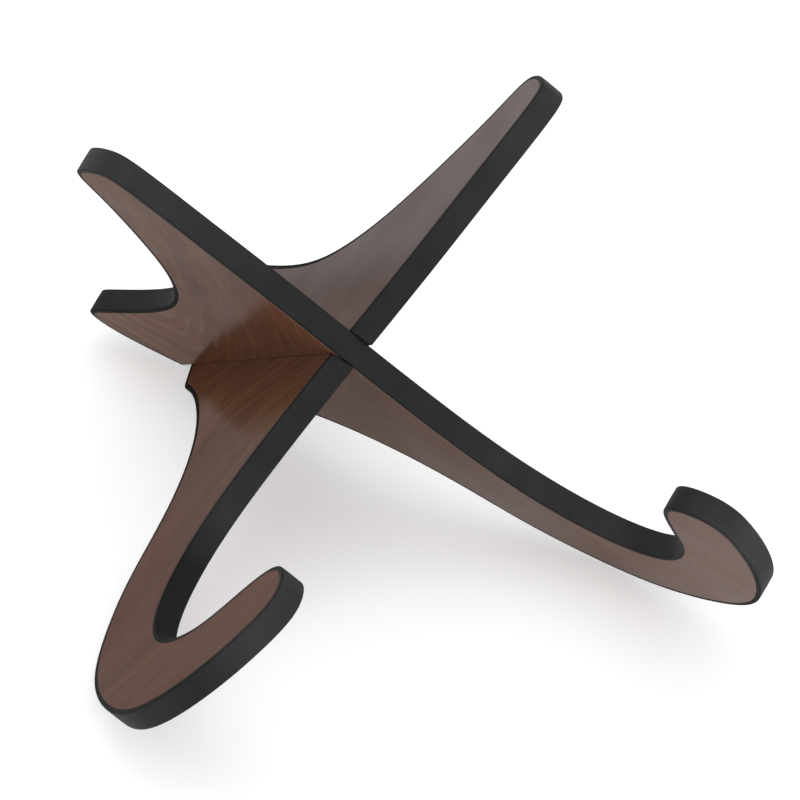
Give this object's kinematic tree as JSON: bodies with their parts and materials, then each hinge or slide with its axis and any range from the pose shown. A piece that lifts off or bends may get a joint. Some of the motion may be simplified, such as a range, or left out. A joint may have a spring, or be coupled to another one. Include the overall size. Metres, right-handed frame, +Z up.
{
  "type": "collapsible instrument stand",
  "caption": "Collapsible X-frame instrument stand: slotted walnut-veneered boards with hooked front arms, raised back arms and black soft edge strips.",
  "frame": {"origin": "centre of the footprint's bounding box, on the floor that the two hook bottoms and the two leg corners rest on", "axes": "+Z up, -Y towards the hooks (front, where the instrument stands), +Y towards the leg heels (back), X across the stand; the slot line runs in the YZ plane, leaning forward as it rises"},
  "size_m": [0.304, 0.374, 0.2187],
  "materials": {
    "core_plywood": "raw plywood, hidden by the veneers and the edge strip",
    "walnut_veneer": "satin lacquered walnut veneer with fine straight grain and a few cathedral arcs",
    "edge_strip": "smooth soft black leather strip with a low satin sheen"
  },
  "bodies": {
    "lower_board": {"lower_core": "core_plywood", "lower_left_veneer": "walnut_veneer", "lower_right_veneer": "walnut_veneer", "lower_edge_strip": "edge_strip"},
    "upper_board": {"upper_core": "core_plywood", "upper_left_veneer": "walnut_veneer", "upper_right_veneer": "walnut_veneer", "upper_edge_strip": "edge_strip"}
  },
  "joints": [
    {"name": "board_lift", "type": "slide", "parent": "lower_board", "child": "upper_board", "axis": [0, -0.8084, 0.5886], "range_m": [0, 0.1]}
  ]
}
